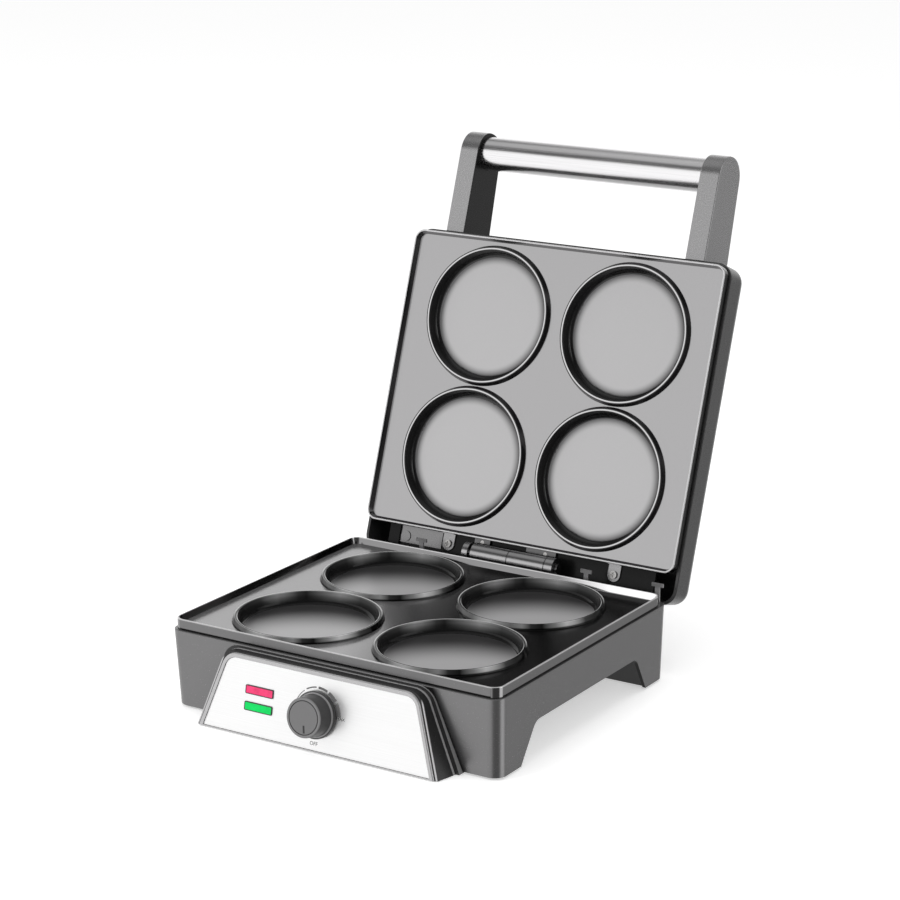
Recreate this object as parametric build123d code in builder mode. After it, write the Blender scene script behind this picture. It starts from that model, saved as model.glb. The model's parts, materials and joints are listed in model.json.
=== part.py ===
import os
from math import cos, radians, sin, tan

from build123d import *

os.makedirs("parts", exist_ok=True)

# All sizes are in millimetres and all angles in degrees.
# The part stands on the plane Z = 0 with its lid open, as in the photograph. X is left to right and Y is
# front to back. The closed lid is described in the same words as the base: its depths are measured from
# the plane in which the two cooking plates meet.

# The two cooking plates, which are alike
plate_w = 260.0
plate_d = 221.4
plate_t = 7.0
plate_corner = 8.0
rim_w = 1.2
rim_round = 0.5
tray_depth = 4.5
tray_slope = 20.0
well_pitch_x = 115.0
well_pitch_y = 105.7
ring_top_r = 51.0
ring_base_r = 52.6
ring_drop = 0.8
ring_round = 0.8
well_r = 48.6
well_floor_r = 46.6
well_depth = 8.7
well_cove = 3.6
cup_wall = 2.5
post_r = 4.5
post_inset_x = 12.0
post_inset_y = 12.7

# The housing of the base
seam_gap = 0.5
housing_h = 55.0
housing_over = 1.8
housing_back = 6.6
housing_corner = 9.0
housing_wall = 2.5
housing_edge = 0.8
side_draft = 1.8
front_draft = 3.3
arch_h = 26.5
arch_front = 46.0
arch_rear = 183.2
arch_foot_front = 29.0
arch_foot_rear = 199.4
arch_round = 9.0
window_w = 124.0
window_h = 36.0
window_up = 3.5
deck_d = 12.0

# The bottom cover and the feet
bottom_t = 2.0
bottom_recess = 0.4
bottom_bend = 2.5
bottom_gap = 0.3
foot_r = 9.0
foot_stand = 1.5
foot_edge = 0.5
foot_inset_x = 15.0
foot_inset_front = 15.0
foot_inset_rear = 12.5
foot_screw_l = 12.0
boss_r = 4.5
boss_h = 16.0
rib_t = 3.0

# The hinge, which lies behind the plates at the height where they meet
hinge_back = 11.1
open_angle = 109.0
barrel_r = 7.8
pin_r = 2.5
pin_gap = 0.05
barrel_half = 30.8
base_ear_w = 6.6
lid_ear_w = 4.6
knuckle_gap = 0.6
leaf_t = 2.0
leaf_drop = 22.0
leaf_edge = 6.0
lid_leaf_level = 9.0
lid_leaf_front = 11.5
lid_leaf_rear = 6.5
leaf_notch_left = 25.0
leaf_notch_right = 6.0
leaf_notch_d = 7.0
web_w = 4.0
hinge_screw_x = 22.0
pin_head_r = 4.0
pin_head_h = 1.8
plates_gap = 0.3

# The control bezel, a raised trapezoid that leans back
bezel_reach = 20.6
bezel_stand = 0.5
bezel_lean = 9.8
bezel_h = 54.9
bezel_bottom_w = 191.9
bezel_top_w = 155.9
bezel_corner = 13.0
bead_in = 1.8
bead_down = 0.6
bead_t = 1.6
bezel_edge = 1.2
bezel_root_bottom_w = 203.0
bezel_root_top_w = 159.0
bezel_root_h = 54.3
bezel_root_in = 3.0
flange_w = 1.2
flange_t = 1.2
bezel_wall = 3.2
bezel_lip = 1.6
bezel_lip_t = 1.2
panel_bottom_w = 181.3
panel_top_w = 148.3
panel_h = 49.9
panel_up = 1.0
panel_corner = 9.0
panel_t = 1.0
panel_recess = 0.8
fit_gap = 0.15

# The knob, its thermostat and the two lenses, placed on the panel
knob_up = 25.3
knob_flange_r = 16.0
knob_flange_t = 2.4
knob_base_r = 14.4
knob_top_r = 13.5
knob_h = 15.0
knob_gap = 0.5
knob_round = 0.8
groove_r = 11.0
groove_w = 0.6
groove_t = 0.5
knob_hollow_r = 12.0
knob_hollow_h = 6.0
pointer_w = 1.5
pointer_l = 5.2
pointer_t = 0.5
pointer_edge = 3.2
pointer_turn = 8.0
shaft_r = 3.0
shaft_bite = 6.0
shaft_in = 8.0
bushing_r = 4.6
bushing_out = 2.5
nut_flats = 12.0
nut_t = 2.0
thermostat_w = 36.0
thermostat_h = 26.0
thermostat_t = 15.0
lens_x = 46.8
lens_up = 31.7
lens_pitch = 11.3
lens_w = 22.0
lens_h = 5.5
lens_stand = 0.5
lens_flange = 1.2
lamp_l = 16.0
lamp_r = 2.5

# The heaters and reflectors, which hang under each plate
heater_d = 6.4
heater_w = 136.0
heater_front = 62.0
heater_rear = 54.0
heater_tail_x = 14.0
heater_tail = 34.0
heater_bend = 14.0
shield_t = 0.8
shield_lip = 5.0
shield_inset_x = 6.0
shield_inset_y = 6.4
screw_r = 1.5
screw_l = 8.0
screw_head_r = 3.0
screw_head_h = 1.6
hole_gap = 0.1

# Small parts of the base
clip_w = 9.0
clip_bar_h = 2.6
clip_stem_w = 3.6
clip_t = 1.2
clip_rise = 6.4
clip_foot = 5.0
clip_behind = 3.6
clip_left_in = 57.5
clip_right_in = 63.0
clip_end_in = 5.6
fuse_r = 2.6
fuse_l = 14.0
fuse_clip_w = 6.0
fuse_clip_t = 0.8
fuse_clip_l = 22.0
fuse_y = 60.0
terminal_w = 34.0
terminal_d = 14.0
terminal_h = 14.0
terminal_in_x = 80.0
terminal_in = 8.0
terminal_slot_w = 2.4
terminal_slot_d = 5.0
gland_r = 6.5
gland_bore_r = 3.6
gland_flange_r = 9.0
gland_flange_t = 3.0
gland_in = 5.0
gland_in_x = 44.0
gland_up = 15.0

# The lid cover and what it holds
cover_over = 2.0
cover_h = 30.5
cover_draft = 3.0
cover_rear = 11.8
cover_corner = 12.0
cover_round = 13.0
cover_wall = 2.4
cover_edge = 0.8
lid_boss_r = 5.0
lid_boss_in_x = 30.0
lid_boss_in_y = 35.7
strip_in = 18.0
strip_t = 2.0
strip_front = 10.5
strip_rear = 8.8
strip_level = 11.0
rib_w = 9.0
rib_rise = 2.2
bracket_d = 12.5
bracket_t = 0.8
bracket_gap = 1.0
strip_boss_in = 32.0
strip_boss_y = 2.8
strip_boss_r = 4.0
strip_boss_h = 0.7
tab_w = 9.8
tab_reach = 1.9
tab_t = 1.2
tab_left_gap = 17.6
tab_right_gap = 36.6
tab_hook = 8.0
tab_screw_r = 1.6
tab_head_r = 2.8
tab_head_h = 1.4
cross_w = 0.8
cross_l = 3.6

# The handle
arm_in = 37.0
arm_w = 15.6
arm_reach = 80.5
arm_front = 8.0
arm_depth = 33.4
arm_taper = 3.8
arm_round = 16.4
arm_lap = 12.0
arm_lap_round = 4.0
arm_edge = 0.8
tube_r = 12.7
tube_wall = 1.5
tube_in = 6.0
tube_gap = 0.1
tube_down = 15.4
handle_screw_l = 12.0
handle_screw_up = 6.0
handle_screw_pitch = 9.0

# One overrun serves every cut that has to pass a face
over = 2.0

# Levels below the face of a plate
cup_bottom = ring_drop + well_depth + cup_wall
heater_level = cup_bottom + heater_d / 2
shield_level = cup_bottom + heater_d
seat_level = shield_level + shield_t
seam_level = plate_t + seam_gap

# Levels and places in the part's frame. The origin is under the middle of the open part.
housing_top = foot_stand + housing_h
face_z = housing_top + seam_level
lean = open_angle - 90.0
arm_tip = hinge_back + plate_d + arm_reach
arm_back = arm_front + arm_depth
arm_swell = arm_round * (1 + tan(radians(arm_taper)) - 1 / cos(radians(arm_taper)))
lid_reach = (
    (arm_tip - arm_round) * sin(radians(lean))
    + (arm_back + arm_swell - arm_round) * cos(radians(lean))
    + arm_round
)
knob_reach = (
    bezel_reach
    + (knob_gap + knob_h - panel_recess) * cos(radians(bezel_lean))
    + (knob_top_r - knob_up) * sin(radians(bezel_lean))
)
front_y = knob_reach - (knob_reach + plate_d + hinge_back + lid_reach) / 2
middle_y = front_y + plate_d / 2
hinge_y = front_y + plate_d + hinge_back
housing_half_w = plate_w / 2 + housing_over
housing_front_y = front_y - housing_over
housing_rear_y = front_y + plate_d + housing_back
housing_d = housing_rear_y - housing_front_y

# Places from side to side, which follow the width of the plates
half_w = plate_w / 2
clip_left_x = clip_left_in - half_w
clip_right_x = half_w - clip_right_in
clip_end_x = half_w - clip_end_in
terminal_x = terminal_in_x - half_w
gland_x = gland_in_x - half_w
strip_w = plate_w - 2 * strip_in
strip_boss_x = half_w - strip_boss_in
arm_in_x = half_w - arm_in
lid_boss_pitch_x = plate_w - 2 * lid_boss_in_x
lid_boss_pitch_y = plate_d - 2 * lid_boss_in_y

# The ends of the hinge, from which the plate tabs keep their distance
ear_start = barrel_half + knuckle_gap
ear_end = ear_start + base_ear_w
tab_left_x = -ear_end - tab_left_gap - tab_w / 2
tab_right_x = ear_end + tab_right_gap + tab_w / 2

# The planes on which the pieces are drawn
base_face = Plane(origin=(0, middle_y, face_z))
lid = Plane(
    origin=(0, hinge_y, face_z),
    x_dir=(1, 0, 0),
    z_dir=(0, sin(radians(open_angle)), cos(radians(open_angle))),
)
lid_face = Plane(
    origin=lid.from_local_coords(Vector(0, -hinge_back - plate_d / 2, plates_gap)),
    x_dir=(-1, 0, 0),
    z_dir=-lid.z_dir,
)
base_side = Plane(origin=(0, front_y, 0), x_dir=(0, 1, 0), z_dir=(1, 0, 0))
rear_wall = Plane(origin=(0, housing_rear_y, face_z), x_dir=(1, 0, 0), z_dir=(0, 1, 0))
gland_plane = Plane(
    origin=(gland_x, housing_rear_y, foot_stand + gland_up), x_dir=(1, 0, 0), z_dir=(0, 1, 0)
)
hinge_side = Plane(origin=(0, hinge_y, face_z), x_dir=(0, 1, 0), z_dir=(1, 0, 0))
lid_side = Plane(origin=lid.origin, x_dir=lid.y_dir, z_dir=(1, 0, 0))
lid_under = Plane(origin=lid.origin, x_dir=(1, 0, 0), z_dir=-lid.z_dir)
panel_front = Plane(
    origin=(0, front_y - bezel_reach, bezel_stand),
    x_dir=(1, 0, 0),
    z_dir=(0, -cos(radians(bezel_lean)), sin(radians(bezel_lean))),
)
panel_face = panel_front.offset(-panel_recess)
knob_seat = Plane(
    origin=panel_face.from_local_coords(Vector(0, knob_up, 0)), x_dir=(1, 0, 0), z_dir=panel_face.z_dir
)
hinge_drop = leaf_drop - leaf_edge
hinge_spots = [(-hinge_screw_x, hinge_drop), (hinge_screw_x, hinge_drop)]
leaf_screw_y = lid_leaf_front - screw_head_r
leaf_spots = [(-(ear_end + leaf_notch_left) / 2, leaf_screw_y), (hinge_screw_x, leaf_screw_y)]


def level(height):
    """A horizontal plane at a height above the table, centred on the lower plate."""
    return Plane(origin=(0, middle_y, height))


def spot_on(plane, x, y):
    """The same plane with its origin moved to a spot on it."""
    return Plane(origin=plane.from_local_coords(Vector(x, y, 0)), x_dir=plane.x_dir, z_dir=plane.z_dir)


def save(piece, name):
    """Label a finished piece and write it to its own file."""
    piece.part.label = name
    export_step(piece.part, f"parts/{name}.step")


def screws(plane, spots, shank_r, shank_l, head_r, head_h, cross=False):
    """Equal screws with their heads standing up from a plane and their shanks going into it."""
    with BuildPart() as group:
        with Locations(plane):
            with Locations(*spots):
                Cylinder(head_r, head_h, align=(Align.CENTER, Align.CENTER, Align.MIN))
                Cylinder(shank_r, shank_l, align=(Align.CENTER, Align.CENTER, Align.MAX))
        if cross:
            with Locations(plane.offset(head_h)):
                with Locations(*spots):
                    for turn in (0, 90):
                        Box(cross_l, cross_w, head_h, rotation=(0, 0, turn), mode=Mode.SUBTRACT)
    return group


def trapezoid(bottom_w, top_w, height, corner, up=0.0):
    """An upright trapezoid with rounded upper corners, drawn in the current sketch."""
    with BuildSketch(mode=Mode.PRIVATE) as shape:
        with BuildLine():
            Polyline(
                (-bottom_w / 2, up),
                (bottom_w / 2, up),
                (top_w / 2, up + height),
                (-top_w / 2, up + height),
                close=True,
            )
        make_face()
        fillet(shape.vertices().group_by(Axis.Y)[-1], corner)
    return shape.sketch


# Cooking plates


def cooking_plate(face):
    """A cast plate: a shallow tray with a raised rim, four ringed wells and four posts underneath."""
    with BuildPart() as plate:
        with BuildSketch(face):
            RectangleRounded(plate_w, plate_d, plate_corner)
        extrude(amount=-plate_t)
        fillet(plate.faces().sort_by(Axis(face.origin, face.z_dir))[-1].edges(), rim_round)
        with BuildSketch(face):
            RectangleRounded(plate_w - 2 * rim_w, plate_d - 2 * rim_w, plate_corner - rim_w)
        extrude(amount=-tray_depth, taper=tray_slope, mode=Mode.SUBTRACT)
        # The rings stand on the tray floor and the cups hang below it
        with Locations(face.offset(-tray_depth)):
            with GridLocations(well_pitch_x, well_pitch_y, 2, 2):
                Cone(
                    ring_base_r,
                    ring_top_r,
                    tray_depth - ring_drop,
                    align=(Align.CENTER, Align.CENTER, Align.MIN),
                )
                Cylinder(
                    well_floor_r + cup_wall,
                    cup_bottom - tray_depth,
                    align=(Align.CENTER, Align.CENTER, Align.MAX),
                )
        with Locations(face.offset(-ring_drop - well_depth)):
            with GridLocations(well_pitch_x, well_pitch_y, 2, 2):
                Cone(
                    well_floor_r,
                    well_r,
                    well_depth,
                    align=(Align.CENTER, Align.CENTER, Align.MIN),
                    mode=Mode.SUBTRACT,
                )
        wells = plate.edges(Select.LAST).filter_by(GeomType.CIRCLE).group_by(SortBy.RADIUS)
        fillet(wells[0], well_cove)
        crests = plate.edges().filter_by(GeomType.CIRCLE).filter_by(
            lambda edge: abs(edge.radius - well_r) < ring_round
        )
        fillet(crests, ring_round)
        # The posts that carry the reflector
        with Locations(face.offset(-tray_depth)):
            with GridLocations(plate_w - 2 * post_inset_x, plate_d - 2 * post_inset_y, 2, 2):
                Cylinder(post_r, shield_level - tray_depth, align=(Align.CENTER, Align.CENTER, Align.MAX))
        with Locations(face.offset(-shield_level)):
            with GridLocations(plate_w - 2 * post_inset_x, plate_d - 2 * post_inset_y, 2, 2):
                Cylinder(
                    screw_r + hole_gap,
                    screw_l,
                    align=(Align.CENTER, Align.CENTER, Align.MIN),
                    mode=Mode.SUBTRACT,
                )
    return plate


def heating_element(face):
    """A bent metal tube under the wells, with both tails towards the hinge."""
    with BuildPart() as element:
        with BuildLine(face.offset(-heater_level)) as route:
            FilletPolyline(
                (-heater_tail_x, heater_rear + heater_tail),
                (-heater_tail_x, heater_rear),
                (-heater_w / 2, heater_rear),
                (-heater_w / 2, -heater_front),
                (heater_w / 2, -heater_front),
                (heater_w / 2, heater_rear),
                (heater_tail_x, heater_rear),
                (heater_tail_x, heater_rear + heater_tail),
                radius=heater_bend,
            )
        with BuildSketch(Plane(origin=route.line @ 0, z_dir=route.line % 0)):
            Circle(heater_d / 2)
        sweep(path=route.line)
    return element


def reflector(face):
    """A thin metal tray under the heater that throws the heat back at the plate."""
    shield_w = plate_w - 2 * shield_inset_x
    shield_d = plate_d - 2 * shield_inset_y
    with BuildPart() as shield:
        with BuildSketch(face.offset(-seat_level)):
            RectangleRounded(shield_w, shield_d, plate_corner)
        extrude(amount=shield_t + shield_lip)
        with BuildSketch(face.offset(-shield_level)):
            RectangleRounded(shield_w - 2 * shield_t, shield_d - 2 * shield_t, plate_corner - shield_t)
        extrude(amount=shield_lip, mode=Mode.SUBTRACT)
        with BuildSketch(face.offset(-shield_level)):
            with GridLocations(plate_w - 2 * post_inset_x, plate_d - 2 * post_inset_y, 2, 2):
                Circle(screw_r + hole_gap)
        extrude(amount=-shield_t, mode=Mode.SUBTRACT)
    return shield


def reflector_screws(face):
    """Four screws that hold the reflector to the posts of its plate."""
    back = Plane(origin=face.offset(-seat_level).origin, x_dir=face.x_dir, z_dir=-face.z_dir)
    post_x = plate_w / 2 - post_inset_x
    post_y = plate_d / 2 - post_inset_y
    spots = [(x, y) for x in (-post_x, post_x) for y in (-post_y, post_y)]
    return screws(back, spots, screw_r, screw_l, screw_head_r, screw_head_h)


for side, face in (("lower", base_face), ("upper", lid_face)):
    save(cooking_plate(face), f"{side}_plate")
    save(heating_element(face), f"{side}_heating_element")
    save(reflector(face), f"{side}_reflector")
    save(reflector_screws(face), f"{side}_reflector_screws")


# Base housing, with the arch that runs under it from side to side


def housing_block(inset):
    """The housing as a solid block, narrower at the table than at the top, with its walls pulled in."""
    with BuildPart() as block:
        for height, front_in, side_in in ((foot_stand, front_draft, side_draft), (housing_top, 0, 0)):
            with BuildSketch(level(height)):
                with Locations((0, (housing_back - housing_over + front_in) / 2)):
                    RectangleRounded(
                        2 * (housing_half_w - inset - side_in),
                        housing_d - 2 * inset - front_in,
                        housing_corner - inset,
                    )
        loft(ruled=True)
    return block.part


housing_solid = housing_block(0)
foot_x = housing_half_w - foot_inset_x
foot_front = foot_inset_front - plate_d / 2
foot_rear = plate_d / 2 + housing_back - foot_inset_rear
foot_spots = [(x, y) for x in (-foot_x, foot_x) for y in (foot_front, foot_rear)]
cover_under = foot_stand + bottom_recess
cover_top = cover_under + bottom_t

with BuildPart() as base_housing:
    add(housing_solid)
    fillet(base_housing.faces().sort_by(Axis.Z)[-1].edges(), housing_edge)
    add(housing_block(housing_wall), mode=Mode.SUBTRACT)
    # The deck behind the plate closes the top of the housing in front of the hinge
    with Locations(Plane(origin=(0, housing_rear_y - housing_wall, housing_top))):
        Box(
            2 * (housing_half_w - housing_wall),
            deck_d,
            housing_wall,
            align=(Align.CENTER, Align.MAX, Align.MAX),
        )
    # The screw posts stand over the feet, each with a rib to the side wall
    with Locations(level(cover_top)):
        with Locations(*foot_spots):
            Cylinder(boss_r, boss_h, align=(Align.CENTER, Align.CENTER, Align.MIN))
    for way in (-1, 1):
        with Locations(level(cover_top)):
            with Locations(*[spot for spot in foot_spots if spot[0] * way > 0]):
                Box(
                    foot_inset_x - housing_wall,
                    rib_t,
                    boss_h,
                    align=(Align.MAX if way < 0 else Align.MIN, Align.CENTER, Align.MIN),
                )
    with Locations(level(cover_top)):
        with Locations(*foot_spots):
            Cylinder(
                screw_r,
                foot_screw_l,
                align=(Align.CENTER, Align.CENTER, Align.MIN),
                mode=Mode.SUBTRACT,
            )
    # The arch is cut through both side walls
    with BuildSketch(base_side) as arch:
        with BuildLine():
            Polyline(
                (arch_foot_front, 0),
                (arch_foot_front, foot_stand),
                (arch_front, foot_stand + arch_h),
                (arch_rear, foot_stand + arch_h),
                (arch_foot_rear, foot_stand),
                (arch_foot_rear, 0),
                close=True,
            )
        make_face()
        fillet(arch.vertices().group_by(Axis.Y)[-1], arch_round)
    extrude(amount=plate_w, both=True, mode=Mode.SUBTRACT)
    # The window behind the control panel, and the hole for the cord gland in the rear wall
    with Locations(Plane(origin=(0, housing_front_y, foot_stand + window_up))):
        Box(
            window_w,
            4 * housing_wall,
            window_h,
            align=(Align.CENTER, Align.CENTER, Align.MIN),
            mode=Mode.SUBTRACT,
        )
    with Locations(gland_plane):
        Cylinder(gland_r, 4 * housing_wall, mode=Mode.SUBTRACT)
    # The holes for the screws of the hinge
    with Locations(rear_wall):
        with Locations(*hinge_spots):
            Cylinder(screw_r, 4 * housing_wall, mode=Mode.SUBTRACT)

save(base_housing, "base_housing")

# Bottom cover, which follows the arch


with BuildPart() as bottom_cover:
    with BuildSketch(base_side):
        with BuildLine() as cover_line:
            FilletPolyline(
                (-over, cover_under),
                (arch_foot_front - bottom_recess, cover_under),
                (arch_front - bottom_recess, cover_under + arch_h),
                (arch_rear + bottom_recess, cover_under + arch_h),
                (arch_foot_rear + bottom_recess, cover_under),
                (plate_d + housing_back + over, cover_under),
                radius=(bottom_bend, arch_round, arch_round, bottom_bend),
            )
            offset(amount=bottom_t, side=Side.LEFT)
        make_face()
    extrude(amount=plate_w, both=True)
    add(housing_block(housing_wall + bottom_gap), mode=Mode.INTERSECT)
    with Locations(level(cover_under)):
        with Locations(*foot_spots):
            Cylinder(
                screw_r,
                4 * bottom_t,
                mode=Mode.SUBTRACT,
            )

save(bottom_cover, "bottom_cover")

# Rubber feet and the screws that hold them and the bottom cover

foot_recess = screw_head_h + hole_gap

with BuildPart() as rubber_feet:
    with Locations(level(0)):
        with Locations(*foot_spots):
            Cylinder(foot_r, cover_under, align=(Align.CENTER, Align.CENTER, Align.MIN))
    chamfer(rubber_feet.faces().group_by(Axis.Z)[0].edges(), foot_edge)
    with Locations(level(0)):
        with Locations(*foot_spots):
            CounterBoreHole(screw_r, screw_head_r + hole_gap, foot_recess, cover_under)

save(rubber_feet, "rubber_feet")

foot_seat = Plane(origin=(0, middle_y, foot_recess), x_dir=(1, 0, 0), z_dir=(0, 0, -1))
under_spots = [(x, -y) for x, y in foot_spots]
save(screws(foot_seat, under_spots, screw_r, foot_screw_l, screw_head_r, screw_head_h), "foot_screws")

# Control bezel, a hollow frame on the front of the housing

bezel_root = Plane(origin=(0, front_y + bezel_root_in, bezel_stand), x_dir=(1, 0, 0), z_dir=(0, -1, 0))
lip_depth = panel_recess + panel_t
cavity_depth = lip_depth + bezel_lip_t

with BuildPart() as control_bezel:
    with BuildSketch(panel_front.offset(-bead_t)):
        add(trapezoid(bezel_bottom_w, bezel_top_w, bezel_h, bezel_corner))
    with BuildSketch(bezel_root):
        add(trapezoid(bezel_root_bottom_w, bezel_root_top_w, bezel_root_h, bezel_corner))
    loft(ruled=True)
    with BuildSketch(bezel_root):
        add(
            trapezoid(
                bezel_root_bottom_w + 2 * flange_w,
                bezel_root_top_w + 2 * flange_w,
                bezel_root_h + flange_w,
                bezel_corner + flange_w,
            )
        )
    extrude(amount=bezel_root_in + housing_over + flange_t)
    # A narrower bead stands in front and frames the panel
    with BuildSketch(panel_front):
        add(
            trapezoid(
                bezel_bottom_w - 2 * bead_in,
                bezel_top_w - 2 * bead_in,
                bezel_h - bead_down,
                bezel_corner - bead_down,
            )
        )
    extrude(amount=-bead_t)
    add(housing_solid, mode=Mode.SUBTRACT)
    front_edges = control_bezel.faces().sort_by(Axis(panel_front.origin, panel_front.z_dir))[-1].edges()
    fillet(front_edges.filter_by(lambda edge: edge.center().Z > bezel_stand + bezel_edge), bezel_edge)
    with BuildSketch(panel_front.offset(-cavity_depth)):
        add(
            trapezoid(
                bezel_bottom_w - 2 * bezel_wall,
                bezel_top_w - 2 * bezel_wall,
                bezel_h - 2 * bezel_wall,
                bezel_corner - bezel_wall,
                bezel_wall,
            )
        )
    with BuildSketch(bezel_root):
        add(
            trapezoid(
                bezel_root_bottom_w - 2 * bezel_wall,
                bezel_root_top_w - 2 * bezel_wall,
                bezel_root_h - 2 * bezel_wall,
                bezel_corner - bezel_wall,
                bezel_wall,
            )
        )
    loft(ruled=True, mode=Mode.SUBTRACT)
    with BuildSketch(panel_front):
        add(
            trapezoid(
                panel_bottom_w + 2 * fit_gap,
                panel_top_w + 2 * fit_gap,
                panel_h + 2 * fit_gap,
                panel_corner,
                panel_up - fit_gap,
            )
        )
    extrude(amount=-lip_depth, mode=Mode.SUBTRACT)
    with BuildSketch(panel_front):
        add(
            trapezoid(
                panel_bottom_w - 2 * bezel_lip,
                panel_top_w - 2 * bezel_lip,
                panel_h - 2 * bezel_lip,
                panel_corner,
                panel_up + 2 * bezel_lip,
            )
        )
    extrude(amount=-cavity_depth, mode=Mode.SUBTRACT)

save(control_bezel, "control_bezel")

# Control panel with its holes

lens_spots = [(-lens_x, lens_up), (-lens_x, lens_up - lens_pitch)]

with BuildPart() as control_panel:
    with BuildSketch(panel_face):
        add(trapezoid(panel_bottom_w, panel_top_w, panel_h, panel_corner, panel_up))
        with Locations(*lens_spots):
            Rectangle(lens_w, lens_h, mode=Mode.SUBTRACT)
        with Locations((0, knob_up)):
            Circle(bushing_r, mode=Mode.SUBTRACT)
    extrude(amount=-panel_t)

save(control_panel, "control_panel")

# Lenses and the lamps behind them


def lens(spot):
    """A clear window with a flange that bears on the back of the panel."""
    seat = spot_on(panel_face, *spot)
    with BuildPart() as window:
        with BuildSketch(seat.offset(lens_stand)):
            RectangleRounded(lens_w, lens_h, lens_stand)
        extrude(amount=-lens_stand - panel_t)
        with BuildSketch(seat.offset(-panel_t)):
            Rectangle(lens_w + 2 * lens_flange, lens_h + 2 * lens_flange)
        extrude(amount=-lens_flange)
    return window


save(lens(lens_spots[0]), "red_lens")
save(lens(lens_spots[1]), "green_lens")

with BuildPart() as indicator_lamps:
    with Locations(panel_face.offset(-panel_t - lens_flange - lamp_r)):
        with Locations(*lens_spots):
            Cylinder(lamp_r, lamp_l, rotation=(0, 90, 0))

save(indicator_lamps, "indicator_lamps")

# Thermostat, its nut and its shaft

with BuildPart() as thermostat:
    with Locations(knob_seat.offset(-panel_t)):
        Box(thermostat_w, thermostat_h, thermostat_t, align=(Align.CENTER, Align.CENTER, Align.MAX))
    with Locations(knob_seat.offset(bushing_out)):
        Cylinder(bushing_r, bushing_out + 2 * panel_t, align=(Align.CENTER, Align.CENTER, Align.MAX))
        Cylinder(
            shaft_r + pin_gap,
            bushing_out + shaft_in + hole_gap,
            align=(Align.CENTER, Align.CENTER, Align.MAX),
            mode=Mode.SUBTRACT,
        )

save(thermostat, "thermostat")

with BuildPart() as thermostat_nut:
    with BuildSketch(knob_seat):
        RegularPolygon(nut_flats / 2, 6, major_radius=False)
        Circle(bushing_r, mode=Mode.SUBTRACT)
    extrude(amount=nut_t)

save(thermostat_nut, "thermostat_nut")

with BuildPart() as thermostat_shaft:
    with Locations(knob_seat.offset(-shaft_in)):
        Cylinder(
            shaft_r,
            shaft_in + knob_gap + knob_hollow_h + shaft_bite,
            align=(Align.CENTER, Align.CENTER, Align.MIN),
        )

save(thermostat_shaft, "thermostat_shaft")

# Knob and its inlaid pointer

knob_foot = knob_seat.offset(knob_gap)
knob_top = knob_foot.offset(knob_h)
pointer_at = knob_top_r - pointer_edge - pointer_l / 2

with BuildPart() as knob:
    with Locations(knob_foot):
        Cylinder(knob_flange_r, knob_flange_t, align=(Align.CENTER, Align.CENTER, Align.MIN))
    with Locations(knob_foot.offset(knob_flange_t)):
        Cone(knob_base_r, knob_top_r, knob_h - knob_flange_t, align=(Align.CENTER, Align.CENTER, Align.MIN))
    fillet(knob.edges().filter_by(GeomType.CIRCLE).group_by(SortBy.RADIUS)[0], knob_round)
    with BuildSketch(knob_top):
        Circle(groove_r + groove_w)
        Circle(groove_r, mode=Mode.SUBTRACT)
    extrude(amount=-groove_t, mode=Mode.SUBTRACT)
    with Locations(knob_foot):
        Cylinder(
            knob_hollow_r,
            knob_hollow_h,
            align=(Align.CENTER, Align.CENTER, Align.MIN),
            mode=Mode.SUBTRACT,
        )
        Cylinder(
            shaft_r,
            knob_hollow_h + shaft_bite,
            align=(Align.CENTER, Align.CENTER, Align.MIN),
            mode=Mode.SUBTRACT,
        )
    with BuildSketch(knob_top):
        with PolarLocations(pointer_at, 1, start_angle=pointer_turn - 90):
            Rectangle(pointer_l, pointer_w)
    extrude(amount=-pointer_t, mode=Mode.SUBTRACT)

save(knob, "knob")

with BuildPart() as knob_pointer:
    with BuildSketch(knob_top):
        with PolarLocations(pointer_at, 1, start_angle=pointer_turn - 90):
            Rectangle(pointer_l, pointer_w)
    extrude(amount=-pointer_t)

save(knob_pointer, "knob_pointer")

# Plate clips, which stand on the deck behind the lower plate

with BuildPart() as plate_clips:
    for clip_x in (clip_left_x, clip_right_x, clip_end_x):
        foot_way = Align.MAX if clip_x > foot_x else Align.CENTER
        with Locations(Plane(origin=(clip_x, front_y + plate_d + clip_behind, housing_top))):
            Box(
                clip_stem_w,
                clip_t,
                seam_level + clip_rise,
                align=(Align.CENTER, Align.CENTER, Align.MIN),
            )
            Box(clip_w, clip_foot, clip_t, align=(foot_way, Align.CENTER, Align.MIN))
        with Locations(Plane(origin=(clip_x, front_y + plate_d + clip_behind, face_z + clip_rise))):
            Box(clip_w, clip_t, clip_bar_h, align=(Align.CENTER, Align.CENTER, Align.MAX))

save(plate_clips, "plate_clips")

# Thermal fuse and its clip, under the lower reflector

fuse_plane = Plane(
    origin=base_face.from_local_coords(Vector(0, fuse_y, -seat_level)), x_dir=(0, 1, 0), z_dir=(1, 0, 0)
)

with BuildPart() as thermal_fuse:
    with BuildSketch(fuse_plane):
        with Locations((0, -fuse_r)):
            Circle(fuse_r)
    extrude(amount=fuse_l / 2, both=True)

save(thermal_fuse, "thermal_fuse")

with BuildPart() as fuse_clip:
    with BuildSketch(fuse_plane):
        with Locations((0, -fuse_r)):
            Circle(fuse_r + fuse_clip_t)
        Rectangle(fuse_clip_l, fuse_clip_t, align=(Align.CENTER, Align.MAX))
        Rectangle(fuse_clip_l, fuse_clip_t, align=(Align.CENTER, Align.MIN), mode=Mode.SUBTRACT)
        Rectangle(2 * fuse_r, fuse_clip_t, align=(Align.CENTER, Align.MAX), mode=Mode.SUBTRACT)
        with Locations((0, -fuse_r)):
            Circle(fuse_r, mode=Mode.SUBTRACT)
    extrude(amount=fuse_clip_w / 2, both=True)

save(fuse_clip, "fuse_clip")

# Terminal block and cord gland

terminal_seat = Plane(origin=(terminal_x, housing_rear_y - housing_wall - terminal_in, cover_top))

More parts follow.
